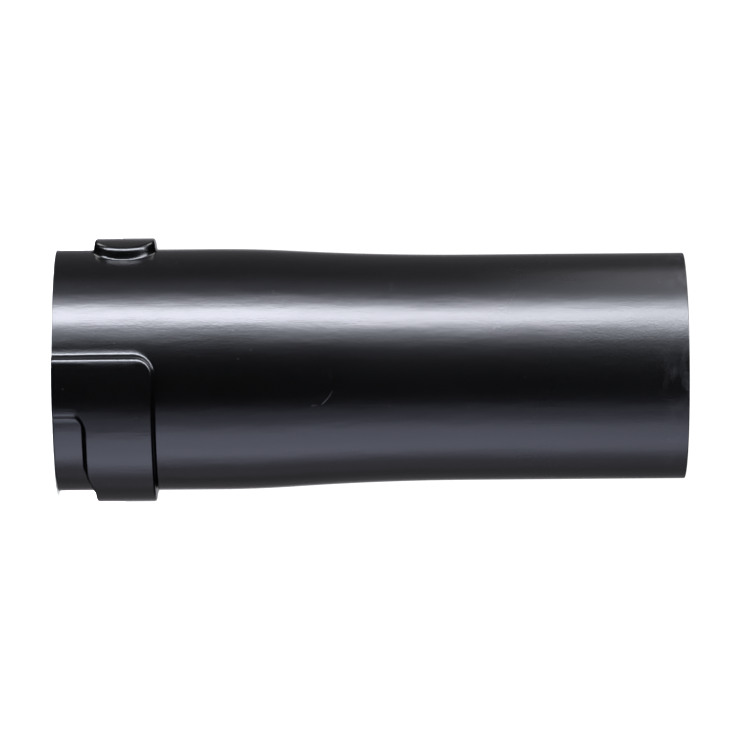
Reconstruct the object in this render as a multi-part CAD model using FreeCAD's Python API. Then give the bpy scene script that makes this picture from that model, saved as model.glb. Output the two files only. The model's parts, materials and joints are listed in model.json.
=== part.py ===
import FreeCAD
import Part
import math
import os

# Leaf blower nozzle tube, blown in one piece from black polyethylene, in millimetres.
# The tube stands on its socket mouth: the origin is the centre of the mouth, +Z runs along the bore to
# the spigot, and -Y passes through the middle of one bayonet entry.

# Tube
length = 234.0
wall = 2.0
socket_outside_d = 90.0
socket_length = 60.0
spigot_outside_d = 84.4

# Shoulder between socket and spigot, a smooth S that bulges on its first stretch and is hollow on the rest
shoulder_length = 93.0
shoulder_bulge_length = 28.0

# Bayonet channels, pressed outwards in the socket so that the blower's lugs run in them. The second channel is
# opposite the first and wider by an angle, for a wider lug, so the tube goes on in one position only.
# The walls of the entry lean more, to leave the mould freely.
second_channel_turn = 180.0
second_channel_extra = 12.5
channel_height = 4.2
entry_width = 23.5
entry_draft = 29.0
run_angle = 93.5
run_far_edge = 37.9
run_width = 27.7
flank_draft = 22.0

# Cam ramp that draws the tube on as it is turned: the near flank steps back, so the run gets narrower.
# Its length is measured along the socket, so it keeps its slope on a wider or narrower tube.
ramp_rise = 3.2
ramp_start_angle = 41.0
ramp_length = 16.4934

# Corners of the channel, seen from outside
start_corner_r = 7.7
entry_corner_r = 3.5
end_corner_r = 10.4
ramp_blend_r = 12.0

# Rounding of the channel's outer edges and of its foot on the socket, and the bevel of its lips inside the bore
edge_round = 1.0
foot_round = 1.0
lip_bevel = 0.8

# Plain wall between the channels and the full-round seat behind them
seat_margin = 2.5

# Overrun of the solids that are trimmed off again
overrun = 6.0

socket_r = socket_outside_d / 2
spigot_r = spigot_outside_d / 2
entry_half_angle = math.degrees(math.asin(entry_width / 2 / socket_r))
ramp_end_angle = ramp_start_angle + math.degrees(ramp_length / socket_r)
Z_AXIS = FreeCAD.Vector(0, 0, 1)
CENTRE = FreeCAD.Vector(0, 0, 0)


def around(radius, angle, z):
    """Point on the tube, angle in degrees from the entry's middle in the direction of the run."""
    turn = math.radians(angle - 90)
    return FreeCAD.Vector(radius * math.cos(turn), radius * math.sin(turn), z)


def revolve(points, first_angle, sweep):
    """Solid of revolution of a closed outline of (radius, z) corners."""
    outline = Part.makePolygon([FreeCAD.Vector(0, -r, z) for r, z in points + points[:1]])
    solid = Part.Face(outline).revolve(CENTRE, Z_AXIS, sweep)
    solid.rotate(CENTRE, Z_AXIS, first_angle)
    return solid


def tube_form(inset):
    """The tube without its channels as a filled solid, its surface moved inwards by the inset.
    The socket is drawn in two lengths, the mouth that the channels interrupt and the full-round seat."""

    z_socket = socket_length
    z_spigot = socket_length + shoulder_length
    slope = 2 * math.atan2(socket_r - spigot_r, shoulder_length)
    bulge_r = shoulder_bulge_length / math.sin(slope)
    hollow_r = (shoulder_length - shoulder_bulge_length) / math.sin(slope)

    def on_profile(radius, z):
        return FreeCAD.Vector(0, -radius, z)

    def on_bulge(turn):
        r = bulge_r - inset
        return on_profile(socket_r - bulge_r + r * math.cos(turn), z_socket + r * math.sin(turn))

    def on_hollow(turn):
        r = hollow_r + inset
        return on_profile(spigot_r + hollow_r - r * math.cos(turn), z_spigot - r * math.sin(turn))

    mouth = on_profile(socket_r - inset, -overrun)
    seat = on_profile(socket_r - inset, run_far_edge + seat_margin)
    nose = on_profile(spigot_r - inset, length + overrun)
    axis_low = FreeCAD.Vector(0, 0, -overrun)
    axis_high = FreeCAD.Vector(0, 0, length + overrun)
    edges = [
        Part.LineSegment(axis_low, mouth).toShape(),
        Part.LineSegment(mouth, seat).toShape(),
        Part.LineSegment(seat, on_bulge(0)).toShape(),
        Part.Arc(on_bulge(0), on_bulge(slope / 2), on_bulge(slope)).toShape(),
        Part.Arc(on_hollow(slope), on_hollow(slope / 2), on_hollow(0)).toShape(),
        Part.LineSegment(on_hollow(0), nose).toShape(),
        Part.LineSegment(nose, axis_high).toShape(),
        Part.LineSegment(axis_high, axis_low).toShape(),
    ]
    return Part.Face(Part.Wire(edges)).revolve(CENTRE, Z_AXIS, 360)


def beyond(point, normal):
    """Everything on the normal's side of a plane, as a block that reaches past the whole tube."""
    size = 4 * (length + socket_outside_d)
    block = Part.makeBox(size, size, size, FreeCAD.Vector(-size / 2, -size / 2, 0))
    block.Placement = FreeCAD.Placement(point, FreeCAD.Rotation(Z_AXIS, normal))
    return block


def side_wall(angle, way, draft, inset):
    """What lies outside a channel wall along the tube that stands at this angle at its foot.
    way is +1 where the wall closes the channel at its far end, and -1 at its near end."""
    lean = math.radians(angle - way * draft - 90)
    normal = FreeCAD.Vector(-math.sin(lean), math.cos(lean), 0) * way
    return beyond(around(socket_r, angle, 0) - normal * inset, normal)


def riser_at(solid, angle, z, r_foot, r_top):
    """The edge that climbs from foot to top of the channel nearest to this place."""
    place = around((r_foot + r_top) / 2, angle, z)
    risers = []
    for edge in solid.Edges:
        radii = [math.hypot(v.X, v.Y) for v in edge.Vertexes]
        if len(radii) == 2 and min(radii) < r_foot and max(radii) > r_top - 0.01:
            risers.append(edge)
    probe = Part.Vertex(place)
    return min(risers, key=lambda edge: edge.distToShape(probe)[0])


def channel(inset, edge_r, extra_angle):
    """One L-shaped channel as a filled ridge, its surface moved inwards by the inset.
    Its outer edges are rounded with edge_r, or left sharp where that is 0."""
    entry_start = -entry_half_angle
    entry_end = entry_half_angle + extra_angle
    run_end = run_angle + extra_angle
    r_foot = socket_r - inset
    r_top = socket_r + channel_height - inset
    r_root = r_foot - channel_height
    lean = math.tan(math.radians(flank_draft))
    step = inset / math.cos(math.radians(flank_draft))
    near_edge = run_far_edge - run_width

    def far_z(r):
        return run_far_edge - (r - socket_r) * lean - step

    def near_z(r, rise):
        return near_edge + rise + (r - socket_r) * lean + step

    def ridge(rise, first_angle, last_angle):
        outline = [(r_root, near_z(r_root, rise)), (r_top, near_z(r_top, rise)),
                   (r_top, far_z(r_top)), (r_root, far_z(r_root))]
        return revolve(outline, first_angle, last_angle - first_angle)

    # The ramp is a flat face through the ends of the two straight feet, leaning like the flanks
    ramp_low = around(socket_r, ramp_start_angle, near_edge)
    ramp_high = around(socket_r, ramp_end_angle, near_edge + ramp_rise)
    middle = (ramp_start_angle + ramp_end_angle) / 2
    climb = around(1, middle, 0) + Z_AXIS * lean
    ramp_normal = (ramp_high - ramp_low).cross(climb)
    ramp_normal = ramp_normal.normalize() * (-1 if ramp_normal.z > 0 else 1)
    below_ramp = beyond(ramp_low - ramp_normal * inset, ramp_normal)

    run_start = entry_start - entry_draft
    ramp_span = ramp_end_angle - ramp_start_angle
    lock_run = ridge(ramp_rise, run_start, run_end + flank_draft)
    wide_run = ridge(0, run_start, ramp_end_angle + ramp_span / 2).cut(below_ramp)
    entry_outline = [(r_root, -overrun), (r_top, -overrun), (r_top, far_z(r_top)), (r_root, far_z(r_root))]
    entry = revolve(entry_outline, run_start, entry_end + entry_draft - run_start)
    entry = entry.cut(side_wall(entry_end, 1, entry_draft, inset))

    solid = lock_run.fuse([wide_run, entry])
    solid = solid.cut(side_wall(entry_start, -1, entry_draft, inset))
    solid = solid.cut(side_wall(run_end, 1, flank_draft, inset))
    solid = solid.removeSplitter()

    mid_r = (r_foot + r_top) / 2
    far = far_z(mid_r)
    outer_corners = [
        (entry_start, far, start_corner_r - inset),
        (run_end, far, end_corner_r - inset),
        (run_end, near_z(mid_r, ramp_rise), end_corner_r - inset),
        (ramp_start_angle, near_z(mid_r, 0), ramp_blend_r - inset),
    ]
    inner_corners = [
        (entry_end, near_z(mid_r, 0), entry_corner_r + inset),
        (ramp_end_angle, near_z(mid_r, ramp_rise), ramp_blend_r + inset),
    ]
    for angle, z, radius in outer_corners + inner_corners:
        solid = solid.makeFillet(radius, [riser_at(solid, angle, z, r_foot, r_top)])

    rim = [edge for edge in solid.Edges if lies_at(edge, r_top) and edge.BoundBox.ZMax > 0]
    return solid.makeFillet(edge_r, rim) if edge_r > 0 else solid


def lies_at(edge, radius):
    """True for an edge that stays on the cylinder of this radius."""
    points = edge.discretize(5)
    return all(abs(math.hypot(p.x, p.y) - radius) < 0.01 for p in points)


def with_channels(inset, edge_r):
    """The tube with its channels as one filled solid, its surface moved inwards by the inset.
    The second result is the edges at the foot of the channels, which are still sharp."""
    second_channel = channel(inset, edge_r, second_channel_extra)
    second_channel.rotate(CENTRE, Z_AXIS, second_channel_turn)
    solid = tube_form(inset).fuse([channel(inset, edge_r, 0), second_channel])
    foot = [edge for edge in solid.Edges
            if lies_at(edge, socket_r - inset) and 0 < edge.BoundBox.ZMax < run_far_edge + seat_margin / 2]
    return solid, foot


# The wall is even, so the cavity is the same form one wall further in. Its tight outer corners are sharp.
trim = Part.makeCylinder(socket_outside_d, length)
outside, foot_edges = with_channels(0, edge_round)
outside = outside.makeFillet(foot_round, foot_edges).common(trim)
cavity, lip_edges = with_channels(wall, 0)
cavity = cavity.makeChamfer(lip_bevel, lip_edges)
nozzle_tube = outside.cut(cavity)

os.makedirs("parts", exist_ok=True)
nozzle_tube.exportStep("parts/nozzle_tube.step")
print("nozzle_tube valid", nozzle_tube.isValid(), "solids", len(nozzle_tube.Solids),
      "volume", round(nozzle_tube.Volume, 1))
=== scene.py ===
import json
import math

import bpy
import numpy as np
from mathutils import Matrix, Vector


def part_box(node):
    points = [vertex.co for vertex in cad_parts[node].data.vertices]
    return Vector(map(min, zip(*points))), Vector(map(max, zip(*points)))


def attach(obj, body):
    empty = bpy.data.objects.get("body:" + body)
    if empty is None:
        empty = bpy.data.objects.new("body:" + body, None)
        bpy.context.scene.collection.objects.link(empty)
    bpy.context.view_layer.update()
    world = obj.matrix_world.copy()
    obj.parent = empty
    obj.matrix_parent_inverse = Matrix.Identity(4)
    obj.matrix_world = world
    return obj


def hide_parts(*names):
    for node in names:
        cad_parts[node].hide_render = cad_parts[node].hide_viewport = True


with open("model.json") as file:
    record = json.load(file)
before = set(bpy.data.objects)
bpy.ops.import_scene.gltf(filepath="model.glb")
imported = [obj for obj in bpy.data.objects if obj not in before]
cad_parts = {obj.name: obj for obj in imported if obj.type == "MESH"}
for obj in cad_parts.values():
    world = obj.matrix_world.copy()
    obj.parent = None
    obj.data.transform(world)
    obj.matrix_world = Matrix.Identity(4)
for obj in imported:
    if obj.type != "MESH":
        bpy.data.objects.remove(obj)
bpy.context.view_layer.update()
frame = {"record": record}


# Nozzle tube: one shell of black high-density polyethylene with an even wall, blown in a split mould.
# The mould presses two L-shaped bayonet channels outwards in the socket, for lugs on the blower's outlet.
# Both ends are trimmed square with a knife after blowing.
MM = 0.001
mount_sizes = {mount["name"]: mount["dims"] for mount in frame["record"]["mounts"]}
tube_low, tube_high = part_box("nozzle_tube")
length = tube_high.z / MM
wall = 2.0
socket_r = mount_sizes["socket"]["r_mm"] + wall
spigot_r = mount_sizes["spigot"]["r_mm"]
shoulder_start = mount_sizes["socket"]["length_mm"]
shoulder_end = length - mount_sizes["spigot"]["length_mm"]
shoulder_bulge_length = 28.0

# Channels, in millimetres and in degrees from the middle of the entry in the direction of the run. Each has
# its turn round the tube and the angle by which it is wider than the first. The second is opposite and
# takes a wider lug, so the tube goes on in one position only. Angles wrap well before the entry.
channels = ((0.0, 0.0), (180.0, 15.5))
wrap_angle = 120
channel_height = -max(tube_low.x, tube_low.y) / MM - socket_r
entry_width = 23.5
entry_draft = 29.0
run_angle = 91.5
run_nose = 10.5
run_far_edge = 37.4
run_width = 26.3
flank_draft = 9.0
ramp_rise = 2.8
ramp_start_angle = 46.0
ramp_end_angle = 62.0
start_corner_r = 7.7
entry_corner_r = 4.2
ramp_blend = 0.3

# Roundings outside and inside. The plastic doesn't quite fill the mould at the end of a run, so the edge is
# rounder there.
edge_round = 0.9
end_edge_round = 2.2
foot_round = 0.8
lip_round = 1.2
inner_edge_round = 0.5
rim_round = 0.3

# Slight drift of a blown wall that was cooled against the mould on one side only, as a sum of waves.
# Each has its count round the tube, the millimetres for one radian along it, and its start in radians.
drift = 0.03
drift_waves = ((2, 31.0, 0.7), (3, -19.0, 0.0), (5, 11.0, 2.1))


def tube_radius(z):
    """Outside radius of the tube at a height: socket, a shoulder of two tangent arcs, spigot."""
    slope = 2 * math.atan2(socket_r - spigot_r, shoulder_end - shoulder_start)
    hollow_length = shoulder_end - shoulder_start - shoulder_bulge_length
    bulge_r = shoulder_bulge_length / math.sin(slope)
    hollow_r = hollow_length / math.sin(slope)
    along_bulge = np.clip(z - shoulder_start, 0, shoulder_bulge_length)
    along_hollow = np.clip(shoulder_end - z, 0, hollow_length)
    bulge = socket_r - bulge_r + np.sqrt(bulge_r ** 2 - along_bulge ** 2)
    hollow = spigot_r + hollow_r - np.sqrt(hollow_r ** 2 - along_hollow ** 2)
    return np.where(z < shoulder_start + shoulder_bulge_length, bulge, hollow)


def outer_corner(a, b, radius, b_scale=1.0):
    """Depth inside two walls at once, with the corner between them rounded.
    Depth behind wall b is scaled, to give that wall another lean or undo a scale of its own."""
    short_a = np.maximum(radius - a, 0)
    short_b = np.maximum(radius - b, 0)
    rounded = np.hypot(short_a, short_b)
    share_b = short_b ** 2 / np.maximum(rounded, 1e-9) ** 2
    return (np.maximum(np.minimum(a, b), radius) - rounded) * (1 + (b_scale - 1) * share_b)


def inner_corner(a, b, radius, b_scale=1.0):
    """Depth inside either of two openings, with the corner that stands between them rounded.
    Depth behind wall b is scaled as above."""
    past_a = np.maximum(radius + a, 0)
    past_b = np.maximum(radius + b, 0)
    rounded = np.hypot(past_a, past_b)
    share_b = past_b ** 2 / np.maximum(rounded, 1e-9) ** 2
    return (np.minimum(np.maximum(a, b), -radius) + rounded) * (1 + (b_scale - 1) * share_b)


def soft_min(a, b, blend):
    """The lesser of two depths, with the crease between them blended."""
    return np.minimum(a, b) - np.maximum(blend - np.abs(a - b), 0) ** 2 / (4 * blend)


def channel_depth(angle, z, inset, extra_angle):
    """How far a place lies inside the foot line of a channel, for a surface moved inwards by the inset.
    Depth behind the flatter walls of the entry is scaled, so that one rise serves them and the flanks."""
    flank_lean = math.radians(flank_draft)
    entry_lean = math.radians(entry_draft)
    half_wall = channel_height * math.tan(flank_lean) / 2
    entry_scale = math.tan(flank_lean) / math.tan(entry_lean)
    flank_shift = inset * (1 - math.sin(flank_lean)) / math.cos(flank_lean)
    entry_shift = inset * (1 - math.sin(entry_lean)) / math.cos(entry_lean)

    arc = socket_r * np.radians(angle)
    extra_arc = socket_r * math.radians(extra_angle)
    half_entry = socket_r * math.asin(entry_width / 2 / socket_r) - entry_shift
    near_edge = run_far_edge - run_width + flank_shift
    ramp_arc = socket_r * math.radians(ramp_start_angle)
    ramp_slope = ramp_rise / (socket_r * math.radians(ramp_end_angle - ramp_start_angle))
    up_ramp = (z - near_edge - (arc - ramp_arc) * ramp_slope) * math.cos(math.atan(ramp_slope))

    wide_flank = soft_min(z - near_edge, up_ramp, ramp_blend)
    near_flank = -soft_min(-wide_flank, near_edge + ramp_rise - z, ramp_blend)
    far_flank = run_far_edge - flank_shift - z
    entry_side = half_entry + extra_arc - arc
    depth = inner_corner(near_flank, entry_side, entry_corner_r - half_wall, entry_scale)

    # The run ends in half an ellipse: a half round in a plan that is stretched or shortened along the run
    nose_r = (run_width - ramp_rise) / 2
    shorter = nose_r / run_nose
    run_end = (socket_r * math.radians(run_angle) + extra_arc - flank_shift - arc) * shorter
    near_nose = outer_corner(depth, run_end, nose_r - flank_shift, 1 / shorter)
    far_nose = outer_corner(far_flank, run_end, nose_r - flank_shift, 1 / shorter)
    depth = np.minimum(near_nose, far_nose)
    return outer_corner(depth, arc + half_entry, start_corner_r + half_wall, entry_scale)


def channel_rise(depth, foot_r, edge_r):
    """Height of a channel at a depth inside its foot line: a leaning wall with a rounded foot and edge."""
    lean = math.radians(flank_draft)
    turn = math.pi / 2 - lean
    foot_run = foot_r * math.tan(turn / 2)
    edge_run = edge_r * math.tan(turn / 2)
    wall_run = channel_height * math.tan(lean)
    in_foot = np.clip(depth + foot_run, 0, foot_r * math.sin(turn))
    in_edge = np.clip(wall_run + edge_run - depth, 0, edge_r * math.sin(turn))
    foot = foot_r - np.sqrt(foot_r ** 2 - in_foot ** 2)
    edge = channel_height - edge_r + np.sqrt(edge_r ** 2 - in_edge ** 2)
    rise = np.where(depth < foot_run * math.sin(lean), foot, depth / math.tan(lean))
    return np.where(depth > wall_run - edge_run * math.sin(lean), edge, rise)


def nearness_to_end(angle, extra_angle):
    """0 along the run, rising to 1 at the tip of its end."""
    from_tip = socket_r * np.radians(run_angle + extra_angle - angle)
    return np.sin(np.clip(1 - from_tip / run_nose, 0, 1) * math.pi / 2)


def surface_radius(angle, z, inset, foot_r, edge_r):
    """Radius of the outside, or of the inside where the inset is the wall."""
    rise = np.zeros_like(angle + z)
    for channel_turn, extra_angle in channels:
        around_entry = (angle - channel_turn + wrap_angle) % 360 - wrap_angle
        depth = channel_depth(around_entry, z, inset, extra_angle)
        rounding = edge_r + (end_edge_round - edge_round) * nearness_to_end(around_entry, extra_angle)
        rise = np.maximum(rise, channel_rise(depth, foot_r, rounding))
    waves = sum(np.sin(count * np.radians(angle) + z / pace + start) for count, pace, start in drift_waves)
    inward = drift * (waves + len(drift_waves)) / (2 * len(drift_waves))
    return tube_radius(z) - inset + rise - inward


def graded(stations):
    """Positions from the first station to the last, each stretch divided by the step at its start."""
    positions = []
    for (here, step), (there, _) in zip(stations, stations[1:]):
        count = max(1, round(abs(there - here) / step))
        positions.extend(np.linspace(here, there, count, endpoint=False))
    return positions + [stations[-1][0]]


# The mesh is one grid that closes on itself both ways. A row runs round the tube at a height and at a share
# of the wall, 0 outside and 1 inside. Rows and columns are close together where the channel walls are.
outside_rows = graded([
    (rim_round, 0.3), (1.2, 1.4), (8.5, 0.3), (17, 0.6), (34.5, 0.27), (39.5, 1.2), (44, 5),
    (length - 6, 1.6), (length - 1.2, 0.3), (length - rim_round, 1)])
inside_rows = graded([
    (length - rim_round, 0.3), (length - 1.2, 9), (44, 1.5), (38, 0.5), (31, 1.1), (18, 0.5),
    (10, 1.8), (1.2, 0.3), (rim_round, 1)])
rim_share = rim_round / wall
rim_foot = length - rim_round
quarter_turn = np.radians([22.5, 45, 67.5, 90])
over_edge = [(math.sin(a), 1 - math.cos(a)) for a in quarter_turn]
over_lip = [(math.cos(a), 1 - math.sin(a)) for a in quarter_turn]

spigot_rim = [(rim_foot + rim_round * up, rim_share * across) for up, across in over_edge]
spigot_rim += [(length, 0.5), (length, 1 - rim_share)]
spigot_rim += [(rim_foot + rim_round * up, 1 - rim_share * across) for up, across in over_lip[:-1]]
mouth_rim = [(length - z, 1 - share) for z, share in spigot_rim]
rows = [(z, 0) for z in outside_rows] + spigot_rim + [(z, 1) for z in inside_rows] + mouth_rim

columns = []
for channel_turn, extra_angle in channels:
    nose_start = run_angle + extra_angle - 23
    along_channel = graded([
        (-21, 0.34), (-8, 1.6), (10 + extra_angle, 0.34), (20 + extra_angle, 1.4),
        (nose_start, 0.45), (nose_start + 27, 2), (360 / len(channels) - 21, 1)])
    columns += [angle + channel_turn for angle in along_channel[:-1]]

row_z, row_share = [np.array(values)[:, None] for values in zip(*rows)]
column_angle = np.array(columns)[None, :]
outer = surface_radius(column_angle, row_z, 0, foot_round, edge_round)
inner = surface_radius(column_angle, row_z, wall, lip_round, inner_edge_round)
radius = outer + (inner - outer) * row_share
turn = np.radians(column_angle)
points = np.stack([radius * np.sin(turn), -radius * np.cos(turn), row_z + 0 * turn], axis=-1) * MM

row_count, column_count = radius.shape
index = np.arange(row_count * column_count).reshape(row_count, column_count)
above = np.roll(index, -1, axis=0)
quads = np.stack([index, np.roll(index, -1, axis=1), np.roll(above, -1, axis=1), above], axis=-1)

tube_mesh = bpy.data.meshes.new("nozzle_tube_shell")
tube_mesh.from_pydata(points.reshape(-1, 3).tolist(), [], quads.reshape(-1, 4).tolist())
tube_mesh.shade_smooth()
tube = bpy.data.objects.new("nozzle_tube_shell", tube_mesh)
bpy.context.scene.collection.objects.link(tube)
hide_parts("nozzle_tube")
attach(tube, "root")


def linear(hex_colour):
    """Linear colour, with full alpha, of an sRGB hex value."""
    shares = [int(hex_colour[place:place + 2], 16) / 255 for place in (1, 3, 5)]
    return [s / 12.92 if s <= 0.04045 else ((s + 0.055) / 1.055) ** 2.4 for s in shares] + [1.0]


def add_node(tree, kind, inputs=None, **settings):
    """Adds a node with its settings. Each input takes a value, or a link where a socket is given."""
    node = tree.nodes.new(kind)
    for name, value in settings.items():
        setattr(node, name, value)
    for name, value in (inputs or {}).items():
        if isinstance(value, bpy.types.NodeSocket):
            tree.links.new(value, node.inputs[name])
        else:
            node.inputs[name].default_value = value
    return node


# Blow-moulded black polyethylene: carbon black all through, with the satin skin of a sand-blasted mould.
# It shows almost only as soft reflections. Orange peel breaks up their edges, slow waves make them swell,
# and die lines that the parison brought with it run along the tube. The skin is duller towards the spigot.
carbon_black = "#020202"
polyethylene_ior = 1.52
socket_roughness = 0.22
spigot_roughness = 0.30
cloud_roughness = 0.05
cloud_size = 16.0

# Relief in millimetres: size round the tube, size along it, and depth. The peel of the blasted mould is
# nearer to 0.3 mm in truth and is drawn coarser, because it would be finer than a pixel of the picture.
relief_layers = ((0.6, 1.1, 0.035), (7.0, 24.0, 0.12), (0.6, 45.0, 0.012))

black_polyethylene = bpy.data.materials.new("black_polyethylene_blow_moulded")
black_polyethylene.use_nodes = True
skin = black_polyethylene.node_tree
skin.nodes.clear()
place = add_node(skin, "ShaderNodeTexCoord").outputs["Object"]


def mottle(size_round, size_along, detail):
    """Noise from 0 to 1 over the skin, with its sizes in millimetres."""
    scale = (1 / (size_round * MM), 1 / (size_round * MM), 1 / (size_along * MM))
    spot = add_node(skin, "ShaderNodeMapping", {"Vector": place, "Scale": scale})
    noise = add_node(skin, "ShaderNodeTexNoise", {
        "Vector": spot.outputs[0], "Scale": 1.0, "Detail": detail})
    return noise.outputs["Fac"]


height = 0.0
for size_round, size_along, depth in relief_layers:
    layer = add_node(skin, "ShaderNodeMath", {
        0: mottle(size_round, size_along, 2.0), 1: depth, 2: height}, operation="MULTIPLY_ADD")
    height = layer.outputs[0]
relief = add_node(skin, "ShaderNodeBump", {"Height": height, "Strength": 1.0, "Distance": MM})

axes = add_node(skin, "ShaderNodeSeparateXYZ", {0: place})
dulling = add_node(skin, "ShaderNodeMapRange", {
    "Value": axes.outputs["Z"], "From Min": shoulder_start * MM, "From Max": length * MM,
    "To Min": socket_roughness - cloud_roughness / 2, "To Max": spigot_roughness - cloud_roughness / 2})
roughness = add_node(skin, "ShaderNodeMath", {
    0: mottle(cloud_size, 2 * cloud_size, 3.0), 1: cloud_roughness, 2: dulling.outputs[0]},
    operation="MULTIPLY_ADD")

# Wear: scratches and dust that show as pale grey, and a spigot scuffed where the next tube was pushed on.
# A scratch runs between two places, each an angle from the first entry and a height, and has a width and
# the share of the grey that it shows.
scuff_grey = "#5C5C62"
scuff_roughness = 0.5
scratches = (
    (3.3, 102.8, 6.8, 101.2, 0.2, 0.14),
    (6.8, 101.2, 9.6, 99.1, 0.3, 0.2),
    (10.2, 96.8, 10.4, 95.2, 0.4, 0.1),
    (-55.6, 125.2, -50.0, 124.7, 0.4, 0.05),
    (-6.1, 102.0, -3.1, 102.2, 0.4, 0.02),
    (-4.3, 203.2, -0.8, 203.0, 0.3, 0.025),
    (-3.0, 166.2, -2.4, 166.6, 0.4, 0.05),
    (-2.9, 173.4, -2.5, 173.8, 0.4, 0.05),
    (9.2, 224.0, 9.3, 233.0, 0.2, 0.05),
    (13.5, 227.5, 13.7, 233.5, 0.25, 0.06),
    (19.0, 221.0, 18.9, 229.0, 0.2, 0.05),
)
dust_size = 0.22
dust_spacing = 5.0
dust_paleness = 0.6
scuff_length = 13.0
scuff_size = 7.0
scuff_edge = (0.45, 0.75)
scuff_paleness = 0.1

# Scratches are placed on the skin as it lies when unrolled: X is the arc from the first entry, Y the height
backward = add_node(skin, "ShaderNodeMath", {0: axes.outputs["Y"], 1: -1.0}, operation="MULTIPLY")
turned_by = add_node(skin, "ShaderNodeMath", {
    0: axes.outputs["X"], 1: backward.outputs[0]}, operation="ARCTAN2")
arc = add_node(skin, "ShaderNodeMath", {0: turned_by.outputs[0], 1: socket_r * MM}, operation="MULTIPLY")
unrolled = add_node(skin, "ShaderNodeCombineXYZ", {"X": arc.outputs[0], "Y": axes.outputs["Z"]}).outputs[0]

near_rim = add_node(skin, "ShaderNodeMapRange", {
    "Value": axes.outputs["Z"], "From Min": (length - scuff_length) * MM, "From Max": length * MM,
    "To Min": 0.0, "To Max": scuff_paleness})
patches = add_node(skin, "ShaderNodeMapRange", {
    "Value": mottle(scuff_size, scuff_size / 2, 4.0),
    "From Min": scuff_edge[0], "From Max": scuff_edge[1], "To Min": 0.0, "To Max": 1.0})
rim_scuff = add_node(skin, "ShaderNodeMath", {
    0: near_rim.outputs[0], 1: patches.outputs[0]}, operation="MULTIPLY")
speck_place = add_node(skin, "ShaderNodeTexVoronoi", {"Vector": place, "Scale": 1 / (dust_spacing * MM)})
dust = add_node(skin, "ShaderNodeMapRange", {
    "Value": speck_place.outputs["Distance"], "From Min": dust_size / dust_spacing, "From Max": 0.0,
    "To Min": 0.0, "To Max": dust_paleness})
worn = add_node(skin, "ShaderNodeMath", {0: rim_scuff.outputs[0], 1: dust.outputs[0]}, operation="MAXIMUM")
for angle_a, z_a, angle_b, z_b, width, paleness in scratches:
    first = Vector((socket_r * math.radians(angle_a), z_a, 0)) * MM
    run = Vector((socket_r * math.radians(angle_b), z_b, 0)) * MM - first
    from_first = add_node(skin, "ShaderNodeVectorMath", {0: unrolled, 1: first}, operation="SUBTRACT")
    share = add_node(skin, "ShaderNodeVectorMath", {
        0: from_first.outputs[0], 1: run / run.length_squared}, operation="DOT_PRODUCT")
    on_run = add_node(skin, "ShaderNodeClamp", {"Value": share.outputs["Value"]})
    foot = add_node(skin, "ShaderNodeVectorMath", {0: run, "Scale": on_run.outputs[0]}, operation="SCALE")
    beside = add_node(skin, "ShaderNodeVectorMath", {
        0: from_first.outputs[0], 1: foot.outputs[0]}, operation="DISTANCE")
    mark = add_node(skin, "ShaderNodeMapRange", {
        "Value": beside.outputs["Value"], "From Min": width * MM, "From Max": 0.0,
        "To Min": 0.0, "To Max": paleness})
    worn = add_node(skin, "ShaderNodeMath", {0: worn.outputs[0], 1: mark.outputs[0]}, operation="MAXIMUM")

colour = add_node(skin, "ShaderNodeMix", {
    "Factor": worn.outputs[0], "A": linear(carbon_black), "B": linear(scuff_grey)}, data_type="RGBA")
dulled = add_node(skin, "ShaderNodeMix", {
    "Factor": worn.outputs[0], "A": roughness.outputs[0], "B": scuff_roughness})
plastic = add_node(skin, "ShaderNodeBsdfPrincipled", {
    "Base Color": colour.outputs["Result"], "Roughness": dulled.outputs["Result"], "IOR": polyethylene_ior,
    "Normal": relief.outputs["Normal"]})
add_node(skin, "ShaderNodeOutputMaterial", {"Surface": plastic.outputs["BSDF"]})
tube_mesh.materials.append(black_polyethylene)


# Floor: a round of matt white board, wide enough that its edge never shows behind the tube.
# It gives an even white with the tube's soft shadow, and it stays out of the tube's reflections.
floor_r = 0.55
board_white = "#F4F4F4"
bpy.ops.mesh.primitive_circle_add(vertices=128, radius=floor_r, fill_type="NGON")
floor = bpy.context.object
floor.name = "floor"
floor.visible_glossy = False
floor.visible_shadow = False
white_board = bpy.data.materials.new("white_board_matt")
white_board.use_nodes = True
board = white_board.node_tree
board.nodes.clear()
matt = add_node(board, "ShaderNodeBsdfDiffuse", {"Color": linear(board_white)})
add_node(board, "ShaderNodeOutputMaterial", {"Surface": matt.outputs["BSDF"]})
floor.data.materials.append(white_board)


# Camera: level with the middle of the tube and square to it, from a little to the left of the front entry.
# It is turned on its side, so the standing tube lies across the picture with its socket at the left.
camera_bearing = math.radians(7.9)
camera_distance = 2.05
camera_roll = math.radians(0.47)
view_height = 116.7
view_below_axis = 0.76
sensor_width = 36.0
focal_pixels = 5477
picture_width = 740

towards_camera = Vector((-math.sin(camera_bearing), -math.cos(camera_bearing), 0))
picture_up = Vector((-math.cos(camera_bearing), math.sin(camera_bearing), 0))
along_tube = Vector((0, 0, 1))
camera_right = along_tube * math.cos(camera_roll) - picture_up * math.sin(camera_roll)
camera_up = along_tube * math.sin(camera_roll) + picture_up * math.cos(camera_roll)
view_centre = along_tube * view_height * MM - picture_up * view_below_axis * MM

lens = bpy.data.cameras.new("camera")
lens.sensor_width = sensor_width
lens.lens = focal_pixels / picture_width * sensor_width
camera = bpy.data.objects.new("camera", lens)
bpy.context.scene.collection.objects.link(camera)
turned = Matrix((camera_right, camera_up, towards_camera)).transposed().to_4x4()
camera.matrix_world = Matrix.Translation(view_centre + towards_camera * camera_distance) @ turned
bpy.context.scene.camera = camera


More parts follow.
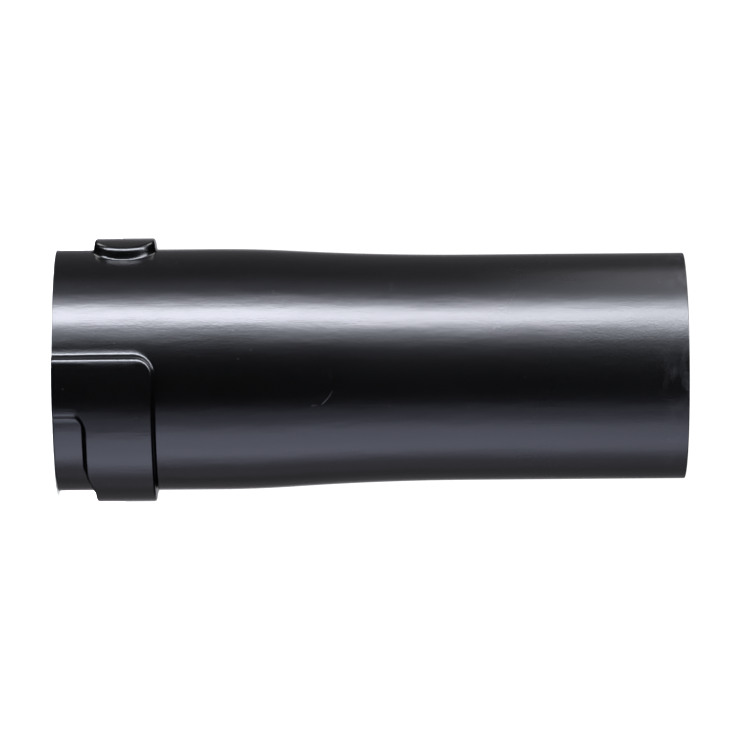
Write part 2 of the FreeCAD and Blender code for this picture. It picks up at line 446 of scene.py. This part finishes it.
# Studio light: tall strip boxes beside the tube give it long soft highlights, a panel close to the spigot
# lightens that end, and two small boxes behind catch the corners of the channel at the picture's top.
# Bearings are in degrees round the tube, from the camera towards the top of the picture.
def softbox(name, bearing, distance, height, width, tall, brightness, colour):
    """A soft light that faces the tube's axis, its brightness in units of the picture's white."""
    turn = math.radians(bearing)
    way = towards_camera * math.cos(turn) + picture_up * math.sin(turn)
    lamp = bpy.data.lights.new(name, "AREA")
    lamp.shape = "RECTANGLE"
    lamp.size = width
    lamp.size_y = tall
    lamp.energy = brightness * math.pi * width * tall
    lamp.color = linear(colour)[:3]
    box = bpy.data.objects.new(name, lamp)
    facing_axis = way.to_track_quat("Z", "Y").to_matrix().to_4x4()
    box.matrix_world = Matrix.Translation(way * distance + along_tube * height) @ facing_axis
    box.visible_camera = False
    bpy.context.scene.collection.objects.link(box)
    return box


light_height = view_height * MM
rim_spread = 0.75
softbox("key_core", 52.6, 1.3, light_height, 0.41, 5.0, 19, "#F4F6FF")
softbox("key_edge", 51, 1.32, light_height, 1.0, 5.0, 3.6, "#E6ECFF")
softbox("key_glow", 56, 1.4, light_height, 2.2, 5.0, 0.35, "#DFE6FF")
softbox("fill_core", -75, 1.2, light_height, 0.74, 0.85, 1.5, "#DDE2FF")
softbox("fill_edge", -71, 1.22, light_height, 1.5, 0.85, 0.8, "#DDE2FF")
softbox("fill_tail", -104, 1.25, light_height, 0.9, 0.85, 0.25, "#E8EAFF")
softbox("end_panel", 94, 0.42, 0.36, 0.22, 0.3, 1.6, "#F4F4FF")
softbox("rim_low", 118, 1.3, light_height - rim_spread, 0.5, 0.5, 5, "#FFFFFF")
softbox("rim_high", 118, 1.3, light_height + rim_spread, 0.5, 0.5, 5, "#FFFFFF")

# A wide box overhead lights the floor alone, so that it doesn't show in the channel's walls.
overhead_height = 2.2
overhead = softbox("overhead", 0, 0.0, overhead_height, 1.6, 1.6, 22, "#FFFFFF")
overhead.matrix_world = Matrix.Translation((0, 0, overhead_height))
lit_from_above = bpy.data.collections.new("lit_from_above")
lit_from_above.objects.link(floor)
overhead.light_linking.receiver_collection = lit_from_above

# The room is black behind the camera and dim grey above, below and behind the tube, in a band that is dark
# again towards both ends of the tube. A bright sheet hangs straight behind. What the camera sees past the
# tube is white. Both ends are cosines, from the tube's axis for the band and from the camera for the sheet.
room_grey = 0.18
room_tint = "#FAF6FF"
band_end = (0.12, 0.26)
sheet_end = (-0.94, -0.985)
sheet_brightness = 0.6
backdrop_brightness = 1.1

world = bpy.data.worlds.new("studio")
world.use_nodes = True
bpy.context.scene.world = world
studio = world.node_tree
studio.nodes.clear()
way_out = add_node(studio, "ShaderNodeTexCoord").outputs["Generated"]
facing = add_node(studio, "ShaderNodeVectorMath", {0: way_out, 1: towards_camera}, operation="DOT_PRODUCT")
endwise = add_node(studio, "ShaderNodeVectorMath", {0: way_out, 1: along_tube}, operation="DOT_PRODUCT")
endwise = add_node(studio, "ShaderNodeMath", {0: endwise.outputs["Value"]}, operation="ABSOLUTE")
dim = add_node(studio, "ShaderNodeMapRange", {
    "Value": facing.outputs["Value"], "From Min": 1.0, "From Max": -1.0,
    "To Min": 0.0, "To Max": room_grey})
band = add_node(studio, "ShaderNodeMapRange", {
    "Value": endwise.outputs[0], "From Min": band_end[0], "From Max": band_end[1],
    "To Min": 1.0, "To Max": 0.0})
dim = add_node(studio, "ShaderNodeMath", {0: dim.outputs[0], 1: band.outputs[0]}, operation="MULTIPLY")
sheet = add_node(studio, "ShaderNodeMapRange", {
    "Value": facing.outputs["Value"], "From Min": sheet_end[0], "From Max": sheet_end[1],
    "To Min": 0.0, "To Max": sheet_brightness})
lit = add_node(studio, "ShaderNodeMath", {0: dim.outputs[0], 1: sheet.outputs[0]}, operation="ADD")
room = add_node(studio, "ShaderNodeBackground", {"Color": linear(room_tint), "Strength": lit.outputs[0]})
backdrop = add_node(studio, "ShaderNodeBackground", {
    "Color": linear("#FFFFFF"), "Strength": backdrop_brightness})
ray = add_node(studio, "ShaderNodeLightPath")
shown = add_node(studio, "ShaderNodeMixShader", {
    0: ray.outputs["Is Camera Ray"], 1: room.outputs[0], 2: backdrop.outputs[0]})
add_node(studio, "ShaderNodeOutputWorld", {"Surface": shown.outputs[0]})
bpy.context.scene.view_settings.view_transform = "Standard"
